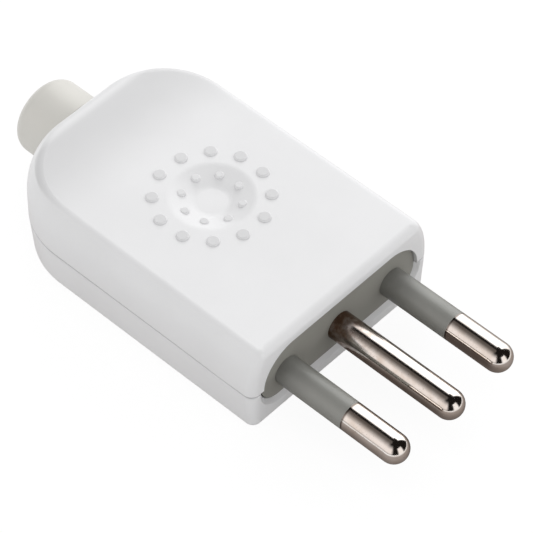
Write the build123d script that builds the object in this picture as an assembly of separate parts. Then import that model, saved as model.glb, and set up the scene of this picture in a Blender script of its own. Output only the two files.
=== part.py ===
from build123d import *
import os
from math import atan2, cos, radians, sin, tan

os.makedirs("parts", exist_ok=True)

# Frame: X runs across the three pins, the pins point to -Y, Z is up.
# The origin is on the axis of the earth pin, in the plane of the housing's front face.
# The parting plane of the two shells is z = 0. All lengths are millimetres.

# Pins, from the standard the plug follows
pin_pitch = 9.5          # live to earth, and earth to neutral
pin_r = 2.0
pin_length = 19.0        # live and neutral, from the front face
earth_extra = 0.45       # the earth pin stands this much further out
sleeve_length = 10.1     # insulated length of live and neutral
root_r = 1.8             # pins and sleeves inside the carrier, behind a shoulder on its face
core_r = 1.5             # metal inside the sleeve, and the stub pressed into a terminal
stub_length = 1.6

# Fits
fit = 0.02               # a pressed or moulded fit
slide = 0.1              # a part that is dropped into its seat
far = 60.0               # past every outline, for cutting shapes

# Housing
wall = 1.8
front_wall = 2.0
half_width = 16.1
body_length = 45.9
rear_corner_r = 12.0
front_corner_r = 1.3
top_z = 7.15             # the flat of the upper face
ramp_y = 31.0            # the upper face starts to rise here
ramp_length = 11.0
ramp_rise = 0.7
crest = 1.0              # rounded change from the ramp to the level rear rim
top_edge_r = 1.15
bottom_z = -6.2
base_edge_r = 0.9
line_chamfer = 0.22      # each shell's share of the parting groove
tongue_h = 1.2
tongue_w = 0.8

# Sections of the shells: height, then how far the sides, the rear end,
# the rear corner radius and the front face are drawn in from the parting plane's outline
upper_sections = [
    (0.0, 0.0, 0.0, 0.0, 0.0),
    (0.364 * top_z, 0.1, 0.05, 0.2, 0.0),
    (0.727 * top_z, 0.75, 0.35, 1.0, 0.0),
    (0.98 * top_z, 1.65, 1.2, 2.0, 0.06),
    (1.23 * top_z, 2.95, 2.8, 3.4, 0.25),
]
lower_sections = [
    (-line_chamfer, 0.0, 0.0, 0.0, 0.0),
    (bottom_z, 0.35, 0.5, 0.4, 0.1),
]

# Pin carrier in the front opening
carrier_face = 0.5       # set back from the front face
opening_side = 2.3       # from the opening to the housing's side
opening_top = 5.15
opening_bottom = -3.4
opening_top_r = 5.0
opening_bottom_r = 3.0
opening_gap = 0.15
flange = 0.4
flange_t = 1.6
carrier_rear = 15.0
carrier_top = 3.2
bay_wall = 0.8
lip = 0.6                # bevel on the lower shell's share of the opening

# Terminals
block = 6.0
block_front = 6.0
block_rear = 14.0
block_edge = 0.4
wire_r = 1.5
wire_z = -0.7
wire_depth = 6.0
m3_r = 1.45
m3_hole = 1.5
m3_free = 1.6
terminal_screw_y = 11.0
terminal_tip = 1.3       # the screw's tip stays this far above the wire hole's axis
terminal_head_r = 2.4
terminal_head_h = 1.4

# Finger grip on the upper face
grip_y = 22.0
grip_r = 5.45            # corner between the upper face and the sloping wall
grip_floor_r = 2.3       # corner between the wall and the floor
grip_blend = 2.0         # radius that rounds both corners
grip_depth = 1.0
outer_ring = 7.45
inner_ring = 3.95
outer_dot_r = 0.86
inner_dot_r = 0.6
outer_dots = 12
inner_dots = 8
dot_h = 0.27
dot_edge = 0.16
dot_root = 0.2           # how far a dot reaches into the face below it

# Cord gland
gland_r = 5.35
gland_out = 7.1          # how far the gland stands out of the housing
gland_bore = 3.3
gland_neck = 4.5
gland_round = 1.85
gland_flange_r = 5.0
gland_flange_t = 2.0
seat_wall = 1.5
seat_lip = 0.8

# Housing screws and nuts
screw_side = 6.0         # from a screw's axis to the housing's side
screw_y = 22.4
boss_r = 3.9
nut_flats = 5.5
nut_h = 2.4
screw_past_nut = 0.9
pilot_depth = 4.4
head_r = 2.75
head_h = 1.7
head_sink = 0.35
screw_edge = 0.3
slot_w = 0.8

# Cord clamp
cord_r = 3.2
clamp_rear = 9.9         # from the clamp's middle to the inside of the rear wall
clamp_x = 7.4
clamp_w = 4.4
clamp_seat = 0.8         # top of the posts
clamp_t = 1.7
clamp_foot = 2.6
clamp_corner = 1.2
clamp_screw_r = 1.3
clamp_screw_tip = -3.2
clamp_head_r = 2.2
clamp_head_h = 1.5
post_r = 2.5
cradle_t = 2.0
cradle_top = -0.4

# Ribs
rib_t = 1.2
press_rib_y = (8.6, 13.4)
stiff_rib_x = 3.4
stiff_rib_y = (16.4, 29.5)
stiff_rib_z = 4.4
stop_w = 2.4
stop_t = 1.4
stop_top = -1.2
root = 0.2               # how far an inner form reaches into the wall that carries it

floor_z = bottom_z + wall
opening_half = half_width - opening_side
screw_x = half_width - screw_side
gland_end = body_length + gland_out
rear_in = body_length - front_wall
clamp_y = rear_in - clamp_rear
clamp_top = clamp_seat + clamp_t
sink_top = bottom_z + head_sink + head_h


def outline(z, side=0.0, rear=0.0, corner=0.0, front=0.0, inset=0.0):
    """Plan outline of the housing at one height."""
    half = half_width - side - inset
    y0 = front + inset
    y1 = body_length - rear - inset
    s = Pos(0, (y0 + y1) / 2) * Rectangle(2 * half, y1 - y0)
    s = fillet(s.vertices().group_by(Axis.Y)[-1], rear_corner_r - corner - inset)
    s = fillet(s.vertices().sort_by(Axis.Y)[:2], front_corner_r)
    return Pos(0, 0, z) * s


def box(x0, x1, y0, y1, z0, z1):
    return Pos((x0 + x1) / 2, (y0 + y1) / 2, (z0 + z1) / 2) * Box(x1 - x0, y1 - y0, z1 - z0)


def slab(y0, z0, z1):
    """Everything behind y0 between two heights."""
    return box(-far, far, y0, far, z0, z1)


def rod_y(x, z, r, y0, y1):
    return Pos(x, (y0 + y1) / 2, z) * Rot(90, 0, 0) * Cylinder(r, y1 - y0)


def rod_z(x, y, r, z0, z1):
    return Pos(x, y, (z0 + z1) / 2) * Cylinder(r, z1 - z0)


def opening_face(grow, y):
    """The rounded shape of the pin carrier's face, grown by a margin."""
    top = opening_top + grow
    bottom = opening_bottom - grow
    s = Pos(0, (top + bottom) / 2) * Rectangle(2 * (opening_half + grow), top - bottom)
    s = fillet(s.vertices().group_by(Axis.Y)[-1], opening_top_r + grow)
    s = fillet(s.vertices().sort_by(Axis.Y)[:2], opening_bottom_r + grow)
    return Plane.XZ.offset(-y) * s


def opening(grow, y0, y1):
    return extrude(opening_face(grow, y0), amount=-(y1 - y0))


def under_top(drop):
    """Everything below the upper face: level, then a hollow ramp up to the level rear rim."""
    z = top_z - drop
    end = body_length + 1.1
    steep_y = ramp_y + ramp_length
    rim_z = z + ramp_rise * (1 + crest / ramp_length)
    ramp = TangentArc((ramp_y, z), (steep_y, z + ramp_rise), tangent=(1, 0))
    brow = TangentArc((steep_y + crest, rim_z), (steep_y, z + ramp_rise), tangent=(-1, 0))
    rest = Polyline((steep_y + crest, rim_z), (end, rim_z), (end, -1.0), (-1.0, -1.0), (-1.0, z), (ramp_y, z))
    face = make_face(Curve() + [ramp, brow, rest])
    return extrude(Plane.YZ * face, amount=far, both=True)


def hexagon(x, y, flats, z0, z1):
    s = RegularPolygon(flats / 2, 6, major_radius=False, rotation=0)
    return extrude(Pos(x, y, z0) * s, amount=z1 - z0)


def dot(radius, turn, r, base, top):
    d = rod_z(radius * cos(turn), grip_y + radius * sin(turn), r, base, top)
    return chamfer(d.edges().group_by(Axis.Z)[-1], dot_edge)


# Upper shell: lofted outside, dished and dotted on top
upper = loft([outline(*s) for s in upper_sections])
upper = upper & under_top(0.0)
rim = [e for e in upper.edges() if e.bounding_box().min.Z > top_z - dot_root]
upper = fillet(rim, top_edge_r)
foot = [e for e in upper.edges() if e.bounding_box().max.Z < 0.01]
upper = chamfer(foot, line_chamfer)

grip_z = top_z - grip_depth
above = top_z + 1
grip_slope = atan2(grip_depth, grip_r - grip_floor_r)
blend = grip_blend * tan(grip_slope / 2)
run = blend * cos(grip_slope)
climb = blend * sin(grip_slope)
floor_arc = TangentArc((grip_floor_r - blend, grip_z), (grip_floor_r + run, grip_z + climb), tangent=(1, 0))
brow_arc = TangentArc((grip_r + blend, top_z), (grip_r - run, top_z - climb), tangent=(-1, 0))
grip_wall = Line((grip_floor_r + run, grip_z + climb), (grip_r - run, top_z - climb))
grip_rest = Polyline((grip_r + blend, top_z), (grip_r + blend, above), (0, above), (0, grip_z),
                     (grip_floor_r - blend, grip_z))
grip_face = Plane.XZ * make_face(Curve() + [floor_arc, grip_wall, brow_arc, grip_rest])
upper = upper - Pos(0, grip_y, 0) * revolve(grip_face, Axis.Z)

inner_z = top_z - (grip_r - inner_ring) * tan(grip_slope)
for k in range(outer_dots):
    turn = radians(360 * (k + 0.5) / outer_dots)
    upper = upper + dot(outer_ring, turn, outer_dot_r, top_z - dot_root, top_z + dot_h)
for k in range(inner_dots):
    turn = radians(360 * k / inner_dots + 30)
    upper = upper + dot(inner_ring, turn, inner_dot_r, grip_z - dot_root, inner_z + dot_h)

# Inside of the upper shell, with the rebate for the lower shell's tongue
hollow = loft([outline(*s, inset=wall) for s in upper_sections]) & under_top(wall)
hollow = hollow & slab(front_wall, -1, far)
rebate = extrude(outline(-root, inset=wall - tongue_w - slide), amount=tongue_h + slide + root)
rebate = rebate & slab(front_wall, -1, far)
bosses = [rod_z(s * screw_x, screw_y, boss_r, 0.0, far) for s in (-1, 1)]
press_ribs = [box(x - rib_t / 2, x + rib_t / 2, *press_rib_y, carrier_top, far)
              for x in (-pin_pitch / 2, pin_pitch / 2)]
stiff_ribs = [box(x - rib_t / 2, x + rib_t / 2, *stiff_rib_y, stiff_rib_z, far)
              for x in (-stiff_rib_x, stiff_rib_x)]
solid_inside = [piece & hollow for piece in bosses + press_ribs + stiff_ribs]
upper = upper - (hollow + rebate)
upper = upper + solid_inside
upper = upper - [rod_z(s * screw_x, screw_y, m3_free, -root, pilot_depth) for s in (-1, 1)]
upper = upper - [hexagon(s * screw_x, screw_y, nut_flats + slide, -root, nut_h) for s in (-1, 1)]
mouth = opening(opening_gap, -1.0, front_wall)
upper = upper - mouth

# Seat of the cord gland, half in each shell
flange_front = rear_in - gland_flange_t
seat_half = gland_flange_r + slide + seat_wall
seat_front = flange_front - slide - seat_lip
gland_cuts = [
    rod_y(0, 0, gland_neck + slide, seat_front - 1, body_length + 1),
    rod_y(0, 0, gland_flange_r + slide, flange_front - slide, rear_in),
]
seat = box(-seat_half, seat_half, seat_front, rear_in + root, floor_z - root, far)
upper = upper + ((seat & slab(0, 0, far)) & hollow) - gland_cuts
export_step(upper, "parts/upper_shell.step")

# Lower shell: tapered tray with rounded bottom edge
lower = loft([outline(*s) for s in lower_sections], ruled=True)
base_edges = [e for e in lower.edges() if e.bounding_box().max.Z < bottom_z + 0.01]
lower = fillet(base_edges, base_edge_r)
lower = lower + loft([outline(-line_chamfer), outline(0.0, inset=line_chamfer)], ruled=True)
tray_form = loft([outline(1.0, inset=wall), outline(*lower_sections[-1], inset=wall)], ruled=True)
tray = tray_form & slab(front_wall, floor_z, 1.0)
tongue = extrude(outline(-0.6, inset=wall - tongue_w), amount=tongue_h + 0.6)
tongue = tongue - extrude(outline(-1, inset=wall), amount=5)
tongue = tongue & slab(front_wall + 1.0, -1, 3)
lower = lower - tray + tongue
inner_room = tray_form & slab(front_wall, floor_z - root, 1.0)
inner_room = inner_room + extrude(outline(0, inset=wall), amount=2)
pillars = [rod_z(s * screw_x, screw_y, boss_r, floor_z - root, 0.0) & inner_room for s in (-1, 1)]
posts = [rod_z(s * clamp_x, clamp_y, post_r, floor_z - root, clamp_seat) for s in (-1, 1)]
stops = [box(x - stop_w / 2, x + stop_w / 2, carrier_rear, carrier_rear + stop_t, floor_z - root, stop_top)
         for x in (-pin_pitch / 2, pin_pitch / 2)]
cradle_y = (clamp_y - cradle_t / 2, clamp_y + cradle_t / 2)
cradle = box(-clamp_x, clamp_x, *cradle_y, floor_z - root, cradle_top) - rod_y(0, 0, cord_r, 0, far)
low_seat = (seat & box(-far, far, 0, far, -far, 0)) & inner_room
lower = lower + pillars + posts + stops + cradle + low_seat
lower = lower - [rod_z(s * screw_x, screw_y, m3_free, -far, 1) for s in (-1, 1)]
lower = lower - [rod_z(s * screw_x, screw_y, head_r + slide, -far, sink_top) for s in (-1, 1)]
clamp_hole = clamp_screw_tip - slide
lower = lower - [rod_z(s * clamp_x, clamp_y, clamp_screw_r + fit, clamp_hole, 2) for s in (-1, 1)]
flare = loft([opening_face(opening_gap + lip, 0.0), opening_face(opening_gap, lip)], ruled=True)
lower = lower - mouth - flare - gland_cuts
export_step(lower, "parts/lower_shell.step")

# Pin carrier: face plate, flange behind the front wall and three open terminal bays
snug = wall + slide
room = loft([outline(*s, inset=snug) for s in upper_sections]) & under_top(snug)
room = room + loft([outline(*s, inset=snug) for s in lower_sections], ruled=True)
half = block / 2
bay_half = half + slide
carrier_half = pin_pitch + bay_half + bay_wall
carrier = opening(flange, front_wall, front_wall + flange_t)
carrier = carrier + box(-carrier_half, carrier_half, front_wall, carrier_rear, floor_z, carrier_top)
carrier = (carrier & room) + opening(0.0, carrier_face, front_wall)
for x in (-pin_pitch, 0.0, pin_pitch):
    carrier = carrier - box(x - bay_half, x + bay_half, block_front, far, -half, far)
    carrier = carrier - rod_y(x, 0, root_r + fit, 0, block_front + root)
export_step(carrier, "parts/pin_carrier.step")


def metal_pin(length, sleeved):
    """A turned pin: round nose, body, and a rear stub that is pressed into its terminal."""
    nose_y = pin_r - length
    nose = Pos(0, nose_y, 0) * Sphere(pin_r) - slab(nose_y, -far, far)
    if sleeved:
        body = rod_y(0, 0, pin_r, nose_y, -sleeve_length)
        body = body + rod_y(0, 0, core_r, -sleeve_length, block_front)
    else:
        body = rod_y(0, 0, pin_r, nose_y, carrier_face) + rod_y(0, 0, root_r, carrier_face, block_front)
    return nose + body + rod_y(0, 0, core_r, block_front, block_front + stub_length)


def terminal():
    """A brass block with a wire hole from the rear and a tapped hole from above."""
    b = box(-half, half, block_front, block_rear, -half, half)
    b = chamfer(b.edges().filter_by(Axis.Y), block_edge)
    b = b - rod_y(0, 0, core_r + fit, block_front - 1, block_front + stub_length)
    b = b - rod_y(0, wire_z, wire_r, block_rear - wire_depth, far)
    return b - rod_z(0, terminal_screw_y, m3_hole, wire_z, far)


def screw(r, z_tip, z_seat, r_head, h_head, cross=False):
    """A screw along Z with its head above the seat."""
    top = z_seat + h_head
    s = rod_z(0, 0, r, z_tip, z_seat) + rod_z(0, 0, r_head, z_seat, top)
    s = chamfer(s.edges().group_by(Axis.Z)[-1], screw_edge)
    s = chamfer(s.edges().group_by(Axis.Z)[0], screw_edge)
    reach = 0.6 * r_head if cross else 2 * r_head
    cut = box(-reach, reach, -slot_w / 2, slot_w / 2, top - 0.5 * h_head, far)
    if cross:
        cut = cut + box(-slot_w / 2, slot_w / 2, -reach, reach, top - 0.5 * h_head, far)
    return s - cut


sleeve = rod_y(0, 0, pin_r, -sleeve_length, carrier_face) + rod_y(0, 0, root_r, carrier_face, block_front)
sleeve = sleeve - rod_y(0, 0, core_r + fit, -far, far)
terminal_screw = screw(m3_r, wire_z + terminal_tip, half, terminal_head_r, terminal_head_h)
for name, x in (("live", pin_pitch), ("neutral", -pin_pitch), ("earth", 0.0)):
    sleeved = name != "earth"
    length = pin_length if sleeved else pin_length + earth_extra
    export_step(Pos(x, 0, 0) * metal_pin(length, sleeved), "parts/" + name + "_pin.step")
    export_step(Pos(x, 0, 0) * terminal(), "parts/" + name + "_terminal.step")
    export_step(Pos(x, terminal_screw_y, 0) * terminal_screw, "parts/" + name + "_terminal_screw.step")
    if sleeved:
        export_step(Pos(x, 0, 0) * sleeve, "parts/" + name + "_pin_sleeve.step")

# Cord clamp: an arched bar screwed down on two posts
clamp_front = clamp_y - clamp_w / 2
clamp_back = clamp_y + clamp_w / 2
arch = rod_y(0, 0, cord_r + clamp_t, clamp_front, clamp_back) & slab(0, clamp_seat, far)
clamp_half = clamp_x + clamp_foot
foot_bar = box(-clamp_half, clamp_half, clamp_front, clamp_back, clamp_seat, clamp_top)
foot_bar = fillet(foot_bar.edges().filter_by(Axis.Z), clamp_corner)
bar = foot_bar + arch - rod_y(0, 0, cord_r, 0, far)
bar = bar - [rod_z(s * clamp_x, clamp_y, clamp_screw_r + slide, 0, far) for s in (-1, 1)]
export_step(bar, "parts/cord_clamp_bar.step")
clamp_screw = screw(clamp_screw_r, clamp_screw_tip, clamp_top, clamp_head_r, clamp_head_h)
housing_screw = screw(m3_r, -nut_h - screw_past_nut, -sink_top, head_r, head_h, cross=True)
nut = hexagon(0, 0, nut_flats, 0.0, nut_h) - rod_z(0, 0, m3_hole, -1, far)
for name, s in (("left", -1), ("right", 1)):
    export_step(Pos(s * clamp_x, clamp_y, 0) * clamp_screw, "parts/cord_clamp_screw_" + name + ".step")
    export_step(Pos(s * screw_x, screw_y, 0) * Rot(180, 0, 0) * housing_screw,
                "parts/housing_screw_" + name + ".step")
    export_step(Pos(s * screw_x, screw_y, 0) * nut, "parts/housing_nut_" + name + ".step")

# Cord gland: flange inside, neck in the rear wall, stub outside
stub = rod_y(0, 0, gland_r, body_length, gland_end)
stub = fillet(stub.edges().group_by(Axis.Y)[-1], gland_round)
gland = stub + rod_y(0, 0, gland_neck, rear_in, body_length)
gland = gland + rod_y(0, 0, gland_flange_r, flange_front, rear_in)
gland = gland - rod_y(0, 0, gland_bore, 0, far)
export_step(gland, "parts/cable_gland.step")
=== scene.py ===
"""Looks of a grounded plug: moulded housing, pin carrier, sleeved pins, cord gland and small hardware."""
import math
import bmesh
import bpy
from mathutils import Matrix, Vector


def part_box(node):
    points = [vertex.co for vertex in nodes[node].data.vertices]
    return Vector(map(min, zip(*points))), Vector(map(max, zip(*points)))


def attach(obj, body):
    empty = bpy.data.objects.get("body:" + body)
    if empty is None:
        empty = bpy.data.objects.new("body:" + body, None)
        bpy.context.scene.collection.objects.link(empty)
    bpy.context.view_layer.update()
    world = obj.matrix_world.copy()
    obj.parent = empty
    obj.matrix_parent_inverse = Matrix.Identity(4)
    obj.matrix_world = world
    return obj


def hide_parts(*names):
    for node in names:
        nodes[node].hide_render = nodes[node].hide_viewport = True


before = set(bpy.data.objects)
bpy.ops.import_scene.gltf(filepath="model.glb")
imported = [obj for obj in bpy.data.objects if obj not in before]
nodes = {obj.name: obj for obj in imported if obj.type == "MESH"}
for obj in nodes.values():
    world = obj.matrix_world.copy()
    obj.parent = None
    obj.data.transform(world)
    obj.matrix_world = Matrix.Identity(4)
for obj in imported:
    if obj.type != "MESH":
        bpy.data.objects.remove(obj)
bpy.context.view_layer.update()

MM = 0.001
DEGREES = 180 / math.pi
floor_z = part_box("lower_shell")[0][2]

# The spot that the lamps face and the dome of light cards surrounds
PLUG_MIDDLE = Vector((0, 0.02, 0))

# Camera, fitted to the pins' standard sizes
CAMERA_PLACE = Vector((-184.903, -160.717, 303.683)) * MM
CAMERA_AZIMUTH = math.radians(-46.835)
CAMERA_ELEVATION = math.radians(50.042)
CAMERA_LENS = 214.33
SENSOR = 36.0
CLIP_NEAR = 0.01
CLIP_FAR = 20

# Strength of the sky on the plug, the share of its own white that the floor shows, and that white's strength
SKY = 0.755
FLOOR_GLOW = 0.88
FLOOR_WHITE = 1.04

# Soft square lamps: place, side and power
LAMPS = {
    "key": ((0.78, 0.64, 0.5), 0.5, 3.2),
    "front": ((0.8, -0.6, 0.5), 0.5, 1.4),
    "top": ((0.0, 0.1, 1.1), 0.6, 0.4),
}

# The floor lies a little below the plug and is open under it, between these places across and along. The
# opening's rear corners are rounded, and its rim is drawn out to the floor's edge by these factors.
FLOOR_GAP = 0.02 * MM
FLOOR_HOLE = ((-15.2 * MM, 15.2 * MM), (0.8 * MM, 44.6 * MM))
FLOOR_HOLE_ROUND = 11 * MM
FLOOR_SPREAD = (210, 145, 1)

# What shiny surfaces mirror: cards on a dark dome, each with its azimuth and half width, its lower and upper
# edge, the softness of its sides, bottom and top, all in degrees, and its colour. The live side is at 0 and
# the rear at 90.
CARDS = [
    (126, 36, 48, 80, 16, 6, 6, (0.13, 0.115, 0.105)),
    (20, 34, 0, 59.5, 6, 8, 10, (1.9, 1.9, 1.9)),
    (-90, 17, -4, 40, 6, 5, 6, (1.15, 1.13, 1.12)),
    (166, 46, 2, 48, 10, 12, 42, (1.02, 0.96, 0.93)),
]
DOME_DARK = (0.012, 0.01, 0.009, 1)
DOME_RADIUS = 0.9

# A round painted shadow of the pins on the floor, which they mirror too: its colours, middle, radius and
# height above the plug's lowest face, and how far from its middle, in millimetres, it turns paler and fades
# away
PATCH_TONE = (0.38, 0.34, 0.32, 1)
PATCH_TONE_DARK = (0.085, 0.068, 0.06, 1)
PATCH_PLACE = Vector((1, -5, 0)) * MM
PATCH_RADIUS = 0.08
PATCH_LIFT = 0.05 * MM
PATCH_PALER = (6, 30)
PATCH_FADE = (34, 76)

# Rings of raised dots: ring radius, count, angle of the first dot and dot radius, millimetres and radians
GRIP_Y = 22.0
OUTER_DOTS = (7.45, 12, math.radians(15), 0.86)
INNER_DOTS = (3.95, 8, math.radians(30), 0.6)

# Distances in from a dot's rim between which its top turns matt, and heights between which the tops start
DOT_RIM = (0.24, 0.06)
DOT_TOPS = (6.2, 6.5)

# Places of painted shade on the housing, in millimetres: the parting groove, and the rear ramp along and up
# the plug
PAINTED_GROOVE_SHADE = (0.06, 0.2)
RAMP_START = (30.5, 41.0)
RAMP_END = (42.2, 43.4)
RAMP_HEIGHT = (6.9, 7.2)

# In millimetres: the sleeves' length ahead of the housing's face, the places of grime and painted shade on
# the sleeves, of the pins' rougher roots with painted shade and reflection, of patchy painted shade along the
# pins' bases, the painted shadow line at a sleeve's end, and how far out the two sleeved pins start
SLEEVE_END = 10.15
SLEEVE_GRIME_AND_SHADE = (-5.6, 0.4)
SLEEVE_UNDERSIDE_SHADE = (-1.6, 0.9)
PIN_ROOT_SHADE = (-4.2, -0.2)
PIN_PATCHY_SHADE = (-9.5, -1.0)
PIN_SEAM_SHADOW = (0.08, 0.3)
OUTER_PINS = (5.0, 6.0)

# Texture of moulded plastic, in turns a millimetre: slow waves, fine grain, scuffs and the dots' rough tops
WAVES = 0.09
GRAIN = 5.5
SCUFFS = 0.8
DOT_GRAIN = 16.0

# Depth of the relief on plastic and on metal, and the samples that round an edge
SKIN_DEPTH = 0.02 * MM
METAL_DEPTH = 0.01 * MM
EDGE_SAMPLES = 6

# Small hardware: driver slots, screw cores and tips, threads, rims and chamfers
SLOT_WIDTH = 0.8 * MM
SLOT_DEPTH = 0.75 * MM
SLOT_NARROWING = 0.8
SLOT_OVERSHOOT = 0.2 * MM
CORE_SHARE = 0.8
TIP_TAPER = 0.35 * MM
TIP_NARROWING = 0.7
NECK = 0.3 * MM
HEAD_CHAMFER = 0.12 * MM
THREAD_HALF = 0.42
THREAD_STEPS = 36
NUT_CORNER_CHAMFER = 0.4 * MM
NUT_HOLE_CHAMFER = 0.25 * MM
NUT_OVERSHOOT = 1 * MM

# Edges below this angle are shaded smooth. Closer than these, in metres, two heights count as one.
SMOOTH_BELOW = math.radians(32)
SAME_HEIGHT = 1e-5
LEVEL_EDGE = 1e-6


def linear(red, green, blue):
    """Screen colour, 0 to 255, as the linear values that a shader takes."""
    def one(value):
        value /= 255
        return value / 12.92 if value <= 0.04045 else ((value + 0.055) / 1.055) ** 2.4
    return one(red), one(green), one(blue), 1.0


def dimmed(colour, share):
    """A colour at a share of its brightness."""
    return tuple(part * share for part in colour[:3]) + (1.0,)


class Value:
    """A number from a node, with the arithmetic that adds Math nodes."""

    def __init__(self, finish, socket):
        self.finish = finish
        self.socket = socket

    def __add__(self, other):
        return self.finish.maths("ADD", self, other)

    def __mul__(self, other):
        return self.finish.maths("MULTIPLY", self, other)

    def __sub__(self, other):
        return self.finish.maths("SUBTRACT", self, other)

    def __rsub__(self, other):
        return self.finish.maths("SUBTRACT", other, self)

    def __truediv__(self, other):
        return self.finish.maths("DIVIDE", self, other)

    __radd__ = __add__
    __rmul__ = __mul__

    def most(self, other):
        return self.finish.maths("MAXIMUM", self, other)

    def rise(self, low, high):
        """0 below low, 1 above high and smooth between."""
        return self.finish.node("ShaderNodeMapRange", {"interpolation_type": "SMOOTHSTEP"},
                                {"Value": self, "From Min": low, "From Max": high})


class Finish:
    """One material or world, built node by node."""

    def __init__(self, owner):
        owner.use_nodes = True
        self.owner = owner
        self.tree = owner.node_tree
        self.tree.nodes.clear()

    def node(self, kind, settings=None, inputs=None, output=0):
        made = self.tree.nodes.new(kind)
        for key, value in (settings or {}).items():
            setattr(made, key, value)
        for key, value in (inputs or {}).items():
            if isinstance(value, Value):
                self.tree.links.new(value.socket, made.inputs[key])
            else:
                made.inputs[key].default_value = value
        return Value(self, made.outputs[output])

    def maths(self, operation, *inputs):
        return self.node("ShaderNodeMath", {"operation": operation}, dict(enumerate(inputs)))

    def place(self):
        """Object coordinates in millimetres."""
        found = self.node("ShaderNodeTexCoord", output="Object")
        return self.node("ShaderNodeVectorMath", {"operation": "SCALE"}, {0: found, "Scale": 1 / MM})

    def axes(self, vector):
        """The three numbers of a vector."""
        split = self.node("ShaderNodeSeparateXYZ", inputs={0: vector}).socket.node.outputs
        return [Value(self, split[axis]) for axis in range(3)]

    def noise(self, place, scale, detail=2.0, roughness=0.5):
        return self.node("ShaderNodeTexNoise", {"noise_dimensions": "3D"},
                         {"Vector": place, "Scale": scale, "Detail": detail, "Roughness": roughness})

    def stretched(self, place, sizes):
        return self.node("ShaderNodeVectorMath", {"operation": "MULTIPLY"}, {0: place, 1: sizes})

    def mix(self, factor, first, second):
        """A blend of two colours. The node's colour sockets are its seventh and eighth."""
        return self.node("ShaderNodeMix", {"data_type": "RGBA"}, {0: factor, 6: first, 7: second}, output=2)

    def soft_edges(self, radius):
        """A normal that rounds edges by a radius in millimetres."""
        return self.node("ShaderNodeBevel", {"samples": EDGE_SAMPLES}, {"Radius": radius * MM})

    def bump(self, height, strength, distance, normal=None):
        inputs = {"Height": height, "Strength": strength, "Distance": distance}
        if normal is not None:
            inputs["Normal"] = normal
        return self.node("ShaderNodeBump", None, inputs)

    def surface(self, **sockets):
        """Ends in a Principled shader. An underscore in a socket's name stands for a space."""
        inputs = {name.replace("_", " "): value for name, value in sockets.items()}
        self.end(self.node("ShaderNodeBsdfPrincipled", None, inputs))

    def end(self, shader):
        """Joins the last shader to the output."""
        is_world = isinstance(self.owner, bpy.types.World)
        output = self.tree.nodes.new("ShaderNodeOutputWorld" if is_world else "ShaderNodeOutputMaterial")
        self.tree.links.new(shader.socket, output.inputs["Surface"])


def material(name):
    return Finish(bpy.data.materials.new(name))


def moulded_skin(made, place):
    """Slow waves, fine grain and faint scuffs of a moulding."""
    waves = made.noise(place, WAVES, 3.0)
    grain = made.noise(place, GRAIN, 3.0, 0.6)
    scuffs = made.noise(made.stretched(place, (0.5, 2.2, 1.0)), SCUFFS, 6.0, 0.7).rise(0.62, 0.78)
    return waves, grain, scuffs


def moulded_plastic(name, colour, roughness, relief, soft_edge=0.12, shade=0.03):
    """Moulded plastic: fine skin texture, slow waves in the gloss, faint scuffs and softened edges."""
    made = material(name)
    place = made.place()
    waves, grain, scuffs = moulded_skin(made, place)
    made.surface(
        Base_Color=made.mix(waves.rise(0.3, 0.75), colour, dimmed(colour, 1 - 2 * shade)),
        Roughness=roughness + grain * 0.08 + scuffs * 0.1 - 0.04,
        Normal=made.bump(grain + waves * 6.0, relief, SKIN_DEPTH, made.soft_edges(soft_edge)),
    )
    return made.owner


def sleeve_plastic(name, colour):
    """Grey insulating sleeve: smooth, with grime and painted shade that deepen towards the carrier, and
    painted shade on its underside.
    """
    made = material(name)
    place = made.place()
    _, along, up = made.axes(place)
    slow = made.noise(place, 0.35, 4.0, 0.6)
    grain = made.noise(place, GRAIN, 3.0, 0.6)
    # Grime with painted shade, darker towards the carrier, and more painted shade on the underside
    grime_and_shade = along.rise(*SLEEVE_GRIME_AND_SHADE) * (0.3 + slow * 0.45)
    underside = 1 - up.rise(*SLEEVE_UNDERSIDE_SHADE)
    shade = grime_and_shade * (0.62 + underside * 0.4) + slow.rise(0.35, 0.75) * 0.05
    made.surface(
        Base_Color=made.mix(shade, colour, linear(38, 33, 28)),
        Roughness=0.31 + grain * 0.08 + slow * 0.05,
        Normal=made.bump(grain + slow * 4.0, 0.08, SKIN_DEPTH, made.soft_edges(0.03)),
        Specular_IOR_Level=0.95,
    )
    return made.owner


def near_dots(made, across, along, ring, count, start, radius):
    """1 on the tops of one ring of raised dots, 0 elsewhere."""
    step = 2 * math.pi / count
    aside = along - GRIP_Y
    turn = made.maths("ARCTAN2", aside, across) / step - start / step + 0.5
    turn = (made.maths("FRACT", turn) - 0.5) * step
    out = made.maths("SQRT", across * across + aside * aside)
    square = out * out + ring * ring - out * made.maths("COSINE", turn) * (2 * ring)
    return 1 - square.rise((radius - DOT_RIM[0]) ** 2, (radius - DOT_RIM[1]) ** 2)


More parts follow.
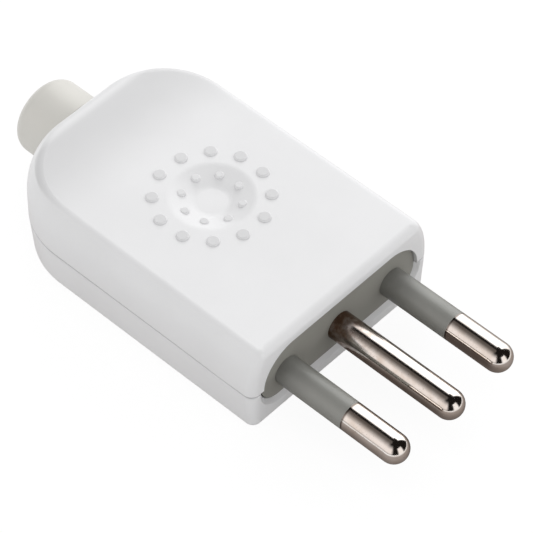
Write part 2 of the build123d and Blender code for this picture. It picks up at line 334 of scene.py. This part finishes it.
def housing_plastic(name, colour):
    """Glossy white moulding: matt dot tops, and painted shade in the parting groove and on the rear ramp."""
    made = material(name)
    place = made.place()
    across, along, up = made.axes(place)
    waves, grain, scuffs = moulded_skin(made, place)
    outer = near_dots(made, across, along, *OUTER_DOTS)
    inner = near_dots(made, across, along, *INNER_DOTS)
    dots = (outer + inner * 0.7) * up.rise(*DOT_TOPS)
    # Painted shade: a darker line in the parting groove and a darker band on the rear ramp
    painted_groove_shade = 1 - made.maths("ABSOLUTE", up).rise(*PAINTED_GROOVE_SHADE)
    painted_ramp_shade = along.rise(*RAMP_START) * (1 - along.rise(*RAMP_END)) * up.rise(*RAMP_HEIGHT)
    shade = waves.rise(0.3, 0.75) * 0.03 + dots * 0.13 + painted_groove_shade * 0.4 + painted_ramp_shade * 0.16
    relief = grain + waves * 6.0 + made.noise(place, DOT_GRAIN) * dots * 2.0
    made.surface(
        Base_Color=made.mix(shade, colour, (0.0, 0.0, 0.0, 1.0)),
        Roughness=0.26 + grain * 0.08 + scuffs * 0.1 + dots * 0.3,
        Normal=made.bump(relief, 0.16, SKIN_DEPTH, made.soft_edges(0.08)),
    )
    return made.owner


def plated_pin(name):
    """Bright nickel plate over turned brass: lathe rings, draw marks, small pits, a rougher root darkened by
    painted shade and reflection of the carrier, patchy painted shade along the base and a painted shadow line
    at each sleeve's end.
    """
    made = material(name)
    place = made.place()
    across, along, _ = made.axes(place)
    rings = made.noise(made.stretched(place, (0.25, 9.0, 0.25)), 1.4, 4.0, 0.6)
    draws = made.noise(made.stretched(place, (5.0, 0.12, 5.0)), 1.1, 4.0, 0.6)
    pits = made.noise(place, 4.2, 2.0, 0.5).rise(0.66, 0.74)
    tarnish = made.noise(place, 0.55, 5.0, 0.6)
    # Painted shade and reflection of the carrier darken the root, and patchy painted shade darkens the base
    root = along.rise(*PIN_ROOT_SHADE)
    patchy_root_shade = along.rise(*PIN_PATCHY_SHADE) * tarnish.rise(0.3, 0.65)
    sleeved = made.maths("ABSOLUTE", across).rise(*OUTER_PINS)
    # Painted shadow line where each sleeve ends on its pin
    painted_seam_shadow = (1 - made.maths("ABSOLUTE", along + SLEEVE_END).rise(*PIN_SEAM_SHADOW)) * sleeved
    tone = made.mix(tarnish.rise(0.35, 0.7), linear(236, 230, 225), linear(222, 212, 203))
    pitted_and_shaded = made.mix(root * 0.72 + patchy_root_shade * 0.48 + pits * 0.45, tone, linear(106, 80, 64))
    made.surface(
        Base_Color=made.mix(painted_seam_shadow * 0.75, pitted_and_shaded, linear(62, 46, 38)),
        Metallic=1.0,
        Roughness=0.05 + draws * 0.07 + tarnish * 0.04 + pits * 0.2 + root * 0.06 + patchy_root_shade * 0.06,
        Normal=made.bump(rings * 0.4 + draws - pits * 0.8, 0.12, METAL_DEPTH),
    )
    return made.owner


def plain_metal(name, colour, roughness, streak):
    """Small hardware: streaks of machining and a little dullness."""
    made = material(name)
    place = made.place()
    marks = made.noise(made.stretched(place, streak), 3.0, 4.0, 0.6)
    dull = made.noise(place, 0.7, 4.0)
    made.surface(
        Base_Color=made.mix(dull.rise(0.35, 0.8), colour, dimmed(colour, 0.72)),
        Metallic=1.0,
        Roughness=roughness + marks * 0.14 + dull * 0.08,
        Normal=made.bump(marks, 0.25, METAL_DEPTH),
    )
    return made.owner


def dress_nodes():
    """Gives every node of the frame its finish, by the first of these words in its name."""
    white = housing_plastic("housing_white", linear(238, 238, 239))
    carrier = moulded_plastic("carrier_grey", linear(153, 152, 145), 0.46, 0.3, soft_edge=0.04, shade=0.05)
    sleeve = sleeve_plastic("sleeve_grey", linear(139, 139, 134))
    gland = moulded_plastic("gland_white", linear(220, 218, 212), 0.36, 0.22)
    clamp = moulded_plastic("clamp_grey", linear(190, 190, 186), 0.5, 0.3)
    pins = plated_pin("nickel_plate")
    brass = plain_metal("terminal_brass", linear(214, 186, 120), 0.28, (1.0, 9.0, 1.0))
    steel = plain_metal("zinc_steel", linear(205, 206, 208), 0.3, (4.0, 4.0, 0.5))
    finish_of = {
        "shell": white, "carrier": carrier, "sleeve": sleeve, "gland": gland, "bar": clamp,
        "screw": steel, "nut": steel, "terminal": brass, "pin": pins,
    }
    for name, node in nodes.items():
        kind = next(word for word in finish_of if word in name)
        for slot in node.material_slots:
            slot.material = finish_of[kind]
    return steel


def deselect():
    bpy.ops.object.select_all(action="DESELECT")


def select_only(*pieces):
    """Selects these objects and no others, and makes the first one active."""
    deselect()
    for piece in pieces:
        piece.select_set(True)
    bpy.context.view_layer.objects.active = pieces[0]


def pick(piece, kind, test):
    """In edit mode, selects the faces or edges that pass a test."""
    bpy.ops.mesh.select_mode(type=kind)
    bpy.ops.mesh.select_all(action="DESELECT")
    mesh = bmesh.from_edit_mesh(piece.data)
    for element in (mesh.faces if kind == "FACE" else mesh.edges):
        element.select_set(test(element))
    bmesh.update_edit_mesh(piece.data)


def middle(edge):
    return (edge.verts[0].co + edge.verts[1].co) / 2


def lies_level(edge):
    return abs(edge.verts[0].co.z - edge.verts[1].co.z) < LEVEL_EDGE


def out_from(point, axis):
    """Distance of a point from an upright axis."""
    return math.hypot(point.x - axis[0], point.y - axis[1])


def fix_place(piece):
    """Puts the place, turn and size of an object into its mesh."""
    select_only(piece)
    bpy.ops.object.transform_apply(location=True, rotation=True, scale=True)


def finish_with(piece, kind, **settings):
    """Adds a modifier with its settings and applies it."""
    added = piece.modifiers.new(kind.lower(), kind)
    for key, value in settings.items():
        setattr(added, key, value)
    select_only(piece)
    bpy.ops.object.modifier_apply(modifier=added.name)


def cut_out(piece, tool, operation="DIFFERENCE"):
    """Cuts a piece with a tool and throws the tool away."""
    finish_with(piece, "BOOLEAN", operation=operation, object=tool, solver="EXACT")
    bpy.data.objects.remove(tool, do_unlink=True)


def cylinder(axis, low, high, radius, sides=64, turn=0.0):
    """An upright cylinder between two heights, ready for edit mode."""
    deselect()
    bpy.ops.mesh.primitive_cylinder_add(
        vertices=sides, radius=radius, depth=high - low, location=(axis[0], axis[1], (low + high) / 2),
        rotation=(0, 0, turn))
    piece = bpy.context.object
    fix_place(piece)
    return piece


def slot_tool(axis, floor, top, reach, turn):
    """A wedge that cuts one driver slot, narrower at its floor."""
    deselect()
    bpy.ops.mesh.primitive_cube_add(size=1, location=(axis[0], axis[1], (floor + top) / 2),
                                    rotation=(0, 0, turn), scale=(2 * reach, SLOT_WIDTH, abs(top - floor)))
    tool = bpy.context.object
    fix_place(tool)
    bpy.ops.object.mode_set(mode="EDIT")
    side = 1 if floor > top else -1
    pick(tool, "FACE", lambda face: face.normal.z * side > 0.9)
    bpy.ops.transform.resize(value=(SLOT_NARROWING, SLOT_NARROWING, 1),
                             center_override=(axis[0], axis[1], floor))
    bpy.ops.object.mode_set(mode="OBJECT")
    return tool


def thread(axis, low, high, core, crest, pitch):
    """A closed helical ridge round a core."""
    half = THREAD_HALF * pitch
    deselect()
    bpy.ops.mesh.primitive_circle_add(vertices=4, radius=crest - core, fill_type="NOTHING",
                                      rotation=(math.pi / 2, 0, 0))
    ridge = bpy.context.object
    fix_place(ridge)
    bpy.ops.object.mode_set(mode="EDIT")
    bpy.ops.mesh.select_all(action="SELECT")
    bpy.ops.transform.resize(value=(1, 1, half / (crest - core)), center_override=(0, 0, 0))
    bpy.ops.transform.translate(value=(core, 0, 0))
    bpy.ops.object.mode_set(mode="OBJECT")
    turns = int((high - low - 2 * half) / pitch)
    finish_with(ridge, "SCREW", angle=2 * math.pi, screw_offset=pitch, iterations=turns,
                steps=THREAD_STEPS, render_steps=THREAD_STEPS, use_smooth_shade=False)
    bpy.ops.object.mode_set(mode="EDIT")
    bpy.ops.mesh.select_all(action="SELECT")
    bpy.ops.mesh.fill_holes(sides=4)
    bpy.ops.mesh.select_all(action="SELECT")
    bpy.ops.mesh.normals_make_consistent(inside=False)
    bpy.ops.object.mode_set(mode="OBJECT")
    ridge.location = (axis[0], axis[1], low + half)
    fix_place(ridge)
    return ridge


def machine_screw(axis, head_end, seat, tip, head_r, shank_r, pitch, reach, slots, turn, dome):
    """A screw with a rounded head, driver slots, a plain neck, a helical thread and a tapered tip."""
    side = 1 if head_end > seat else -1
    core = shank_r * CORE_SHARE

    def on_rim(height):
        return lambda edge: (abs(middle(edge).z - height) < SAME_HEIGHT
                             and out_from(middle(edge), axis) > 0.9 * head_r)

    piece = cylinder(axis, min(head_end, seat), max(head_end, seat), head_r)
    bpy.ops.object.mode_set(mode="EDIT")
    pick(piece, "FACE", lambda face: face.normal.z * side < -0.9)
    bpy.ops.mesh.inset(thickness=head_r - core)
    shank = tip - seat + side * TIP_TAPER
    bpy.ops.mesh.extrude_region_move(TRANSFORM_OT_translate={"value": (0, 0, shank)})
    bpy.ops.mesh.extrude_region_move(TRANSFORM_OT_translate={"value": (0, 0, -side * TIP_TAPER)})
    bpy.ops.transform.resize(value=(TIP_NARROWING, TIP_NARROWING, 1),
                             center_override=(axis[0], axis[1], tip))
    pick(piece, "EDGE", on_rim(head_end))
    bpy.ops.mesh.bevel(offset=dome, segments=5)
    pick(piece, "EDGE", on_rim(seat))
    bpy.ops.mesh.bevel(offset=HEAD_CHAMFER, segments=2)
    bpy.ops.object.mode_set(mode="OBJECT")
    for slot in range(slots):
        cut_out(piece, slot_tool(axis, head_end - side * SLOT_DEPTH, head_end + side * SLOT_OVERSHOOT,
                                 reach, turn + slot * math.pi / 2))
    low, high = sorted((tip + side * TIP_TAPER, seat - side * NECK))
    ridge = thread(axis, low, high, core, shank_r, pitch)
    select_only(piece, ridge)
    bpy.ops.object.join()
    return piece


def hexagon_nut(axis, low, high, flats, hole_r):
    """A nut with chamfered corners and a countersunk hole."""
    corner_r = flats / math.sqrt(3)
    piece = cylinder(axis, low, high, corner_r, sides=6, turn=math.pi / 6)
    round_off = cylinder(axis, low, high, corner_r)
    bpy.ops.object.mode_set(mode="EDIT")
    pick(round_off, "EDGE", lies_level)
    bpy.ops.mesh.bevel(offset=NUT_CORNER_CHAMFER, segments=1)
    bpy.ops.object.mode_set(mode="OBJECT")
    cut_out(piece, round_off, "INTERSECT")
    cut_out(piece, cylinder(axis, low - NUT_OVERSHOOT, high + NUT_OVERSHOOT, hole_r))
    bpy.ops.object.mode_set(mode="EDIT")
    pick(piece, "EDGE", lambda edge: lies_level(edge) and out_from(middle(edge), axis) < 1.1 * hole_r)
    bpy.ops.mesh.bevel(offset=NUT_HOLE_CHAMFER, segments=1)
    bpy.ops.object.mode_set(mode="OBJECT")
    return piece


def seat_copies(first, places, finish):
    """Names a finished piece after the first node that it stands for, and copies it to the other places."""
    select_only(first)
    bpy.ops.object.shade_smooth_by_angle(angle=SMOOTH_BELOW)
    first.data.materials.clear()
    first.data.materials.append(finish)
    first_axis = next(iter(places.values()))
    for index, (node, axis) in enumerate(places.items()):
        piece = first
        if index:
            piece = first.copy()
            piece.data = first.data.copy()
            bpy.context.collection.objects.link(piece)
            shift = Vector((axis[0] - first_axis[0], axis[1] - first_axis[1], 0))
            piece.data.transform(Matrix.Translation(shift))
        piece.name = "made_" + node
        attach(piece, "root")
        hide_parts(node)


def add_fasteners(steel):
    """Screws and nuts in the places and sizes of the nodes that they stand for."""
    left, right = (-10.1 * MM, 22.4 * MM), (10.1 * MM, 22.4 * MM)
    housing_screw = machine_screw(
        left, head_end=-5.85 * MM, seat=-4.15 * MM, tip=3.3 * MM, head_r=2.75 * MM, shank_r=1.45 * MM,
        pitch=0.5 * MM, reach=1.65 * MM, slots=2, turn=math.radians(24), dome=0.3 * MM)
    seat_copies(housing_screw, {"housing_screw_left": left, "housing_screw_right": right}, steel)
    housing_nut = hexagon_nut(left, low=0.0, high=2.4 * MM, flats=5.5 * MM, hole_r=1.5 * MM)
    seat_copies(housing_nut, {"housing_nut_left": left, "housing_nut_right": right}, steel)

    earth, live, neutral = (0.0, 11.0 * MM), (9.5 * MM, 11.0 * MM), (-9.5 * MM, 11.0 * MM)
    terminal_screw = machine_screw(
        earth, head_end=4.4 * MM, seat=3.0 * MM, tip=0.6 * MM, head_r=2.4 * MM, shank_r=1.45 * MM,
        pitch=0.5 * MM, reach=2.6 * MM, slots=1, turn=math.radians(35), dome=0.22 * MM)
    seat_copies(terminal_screw, {"earth_terminal_screw": earth, "live_terminal_screw": live,
                                 "neutral_terminal_screw": neutral}, steel)

    left, right = (-7.4 * MM, 34.0 * MM), (7.4 * MM, 34.0 * MM)
    clamp_screw = machine_screw(
        left, head_end=4.0 * MM, seat=2.5 * MM, tip=-3.2 * MM, head_r=2.2 * MM, shank_r=1.3 * MM,
        pitch=0.6 * MM, reach=2.4 * MM, slots=1, turn=math.radians(-20), dome=0.3 * MM)
    seat_copies(clamp_screw, {"cord_clamp_screw_left": left, "cord_clamp_screw_right": right}, steel)


def add_camera():
    """The photograph's camera."""
    azimuth, elevation = CAMERA_AZIMUTH, CAMERA_ELEVATION
    right = Vector((math.cos(azimuth), math.sin(azimuth), 0))
    back = Vector((math.sin(azimuth) * math.cos(elevation),
                   -math.cos(azimuth) * math.cos(elevation), math.sin(elevation)))
    up = back.cross(right)
    data = bpy.data.cameras.new("camera")
    data.lens = CAMERA_LENS
    data.sensor_width = SENSOR
    data.clip_start = CLIP_NEAR
    data.clip_end = CLIP_FAR
    camera = bpy.data.objects.new("camera", data)
    turn = Matrix((right, up, back)).transposed()
    camera.matrix_world = Matrix.Translation(CAMERA_PLACE) @ turn.to_4x4()
    bpy.context.collection.objects.link(camera)
    bpy.context.scene.camera = camera


def seen_directly(made):
    """1 for what the camera, a mirror or clear material sees, 0 for the light that falls on things."""
    path = made.node("ShaderNodeLightPath").socket.node.outputs
    camera = Value(made, path["Is Camera Ray"])
    return camera.most(Value(made, path["Is Glossy Ray"])).most(Value(made, path["Is Transmission Ray"]))


def open_floor():
    """A wide floor just under the plug, open where the plug hides it so that its underside gets light."""
    (left, right), (front, rear) = FLOOR_HOLE
    centre = (0.0, (front + rear) / 2, floor_z - FLOOR_GAP)
    deselect()
    bpy.ops.mesh.primitive_plane_add(size=1, location=centre)
    floor = bpy.context.object
    floor.name = "floor"
    floor.scale = (right - left, rear - front, 1)
    fix_place(floor)
    bpy.ops.object.mode_set(mode="EDIT")
    bpy.ops.mesh.select_mode(type="VERT")
    bpy.ops.mesh.select_all(action="DESELECT")
    mesh = bmesh.from_edit_mesh(floor.data)
    for corner in mesh.verts:
        corner.select_set(corner.co.y > centre[1])
    bmesh.update_edit_mesh(floor.data)
    bpy.ops.mesh.bevel(offset=FLOOR_HOLE_ROUND, segments=16, affect="VERTICES")
    bpy.ops.mesh.select_all(action="SELECT")
    bpy.ops.mesh.delete(type="ONLY_FACE")
    bpy.ops.mesh.select_all(action="SELECT")
    bpy.ops.mesh.extrude_edges_move(TRANSFORM_OT_translate={"value": (0, 0, 0)})
    bpy.ops.transform.resize(value=FLOOR_SPREAD, center_override=centre)
    bpy.ops.object.mode_set(mode="OBJECT")
    if floor.data.polygons[0].normal.z < 0:
        floor.data.flip_normals()
    return floor


def add_room():
    """White room: an even sky, and a white floor that keeps a faint shadow and is clear from below."""
    world = bpy.data.worlds.new("room")
    bpy.context.scene.world = world
    made = Finish(world)
    strength = seen_directly(made) * (1.0 - SKY) + SKY
    made.end(made.node("ShaderNodeBackground", None, {"Color": (1, 1, 1, 1), "Strength": strength}))

    floor = open_floor()
    made = material("floor_white")
    lit = made.node("ShaderNodeBsdfDiffuse", None, {"Color": (0.94, 0.94, 0.94, 1)})
    white = made.node("ShaderNodeEmission", None, {"Color": (1, 1, 1, 1), "Strength": FLOOR_WHITE})
    glow = seen_directly(made) * FLOOR_GLOW
    top_side = made.node("ShaderNodeMixShader", None, {0: glow, 1: lit, 2: white})
    from_below = made.node("ShaderNodeNewGeometry", output="Backfacing")
    clear = made.node("ShaderNodeBsdfTransparent")
    made.end(made.node("ShaderNodeMixShader", None, {0: from_below, 1: top_side, 2: clear}))
    floor.data.materials.append(made.owner)


def glossy_only(thing):
    """Seen in shiny surfaces alone: no light, no shadow and nothing in the picture itself."""
    thing.visible_camera = False
    thing.visible_diffuse = False
    thing.visible_shadow = False
    thing.visible_transmission = False


def card_share(made, way, height, card):
    """1 where a direction meets a card, 0 beside it and soft at its edges."""
    azimuth, half, low, high, side_soft, low_soft, high_soft, _ = card
    turned = made.node("ShaderNodeVectorRotate", {"rotation_type": "Z_AXIS"},
                       {"Vector": way, "Angle": math.radians(-azimuth)})
    ahead, aside, _ = made.axes(turned)
    off = made.maths("ABSOLUTE", made.maths("ARCTAN2", aside, ahead)) * DEGREES
    inside = 1 - off.rise(half - side_soft, half + side_soft)
    above = height.rise(low - low_soft, low + low_soft)
    below = 1 - height.rise(high - high_soft / 2, high + high_soft / 2)
    return inside * above * below


def add_card_dome():
    """Light cards for the metal, on a dark dome round the plug."""
    bpy.ops.mesh.primitive_uv_sphere_add(segments=48, ring_count=24, radius=DOME_RADIUS, location=PLUG_MIDDLE)
    dome = bpy.context.object
    dome.name = "card_dome"
    made = material("card_dome")
    from_middle = made.node("ShaderNodeTexCoord", output="Object")
    way = made.node("ShaderNodeVectorMath", {"operation": "NORMALIZE"}, {0: from_middle})
    height = made.maths("ARCSINE", made.axes(way)[2]) * DEGREES
    colour = DOME_DARK
    for card in CARDS:
        colour = made.mix(card_share(made, way, height, card), colour, card[-1] + (1.0,))
    made.end(made.node("ShaderNodeEmission", None, {"Color": colour}))
    dome.data.materials.append(made.owner)
    glossy_only(dome)


def add_painted_floor_shadow():
    """The painted shadow on the floor that the pins' undersides mirror."""
    bpy.ops.mesh.primitive_circle_add(vertices=64, radius=PATCH_RADIUS, fill_type="NGON",
                                      location=PATCH_PLACE + Vector((0, 0, floor_z + PATCH_LIFT)))
    shadow_patch = bpy.context.object
    shadow_patch.name = "painted_floor_shadow"
    made = material("painted_floor_shadow")
    distance = made.node("ShaderNodeVectorMath", {"operation": "LENGTH"}, {0: made.place()}, output="Value")
    clear = made.node("ShaderNodeBsdfTransparent")
    # Painted shadow of the pins: darkest at the middle, then paler and fading outwards
    tone = made.mix(distance.rise(*PATCH_PALER), PATCH_TONE_DARK, PATCH_TONE)
    shade = made.node("ShaderNodeEmission", None, {"Color": tone})
    made.end(made.node("ShaderNodeMixShader", None, {0: distance.rise(*PATCH_FADE), 1: shade, 2: clear}))
    shadow_patch.data.materials.append(made.owner)
    glossy_only(shadow_patch)


def add_lamp(name, place, size, power):
    """A square soft lamp that faces the plug and isn't mirrored in it."""
    data = bpy.data.lights.new(name, "AREA")
    data.shape = "SQUARE"
    data.size = size
    data.energy = power
    lamp = bpy.data.objects.new(name, data)
    lamp.location = place
    lamp.rotation_mode = "QUATERNION"
    lamp.rotation_quaternion = (PLUG_MIDDLE - Vector(place)).to_track_quat("-Z", "Y")
    lamp.visible_glossy = False
    bpy.context.collection.objects.link(lamp)


deselect()
add_camera()
add_room()
add_card_dome()
add_painted_floor_shadow()
for lamp_name, (lamp_place, lamp_size, lamp_power) in LAMPS.items():
    add_lamp(lamp_name, lamp_place, lamp_size, lamp_power)
add_fasteners(dress_nodes())

bpy.context.scene.view_settings.view_transform = "Standard"
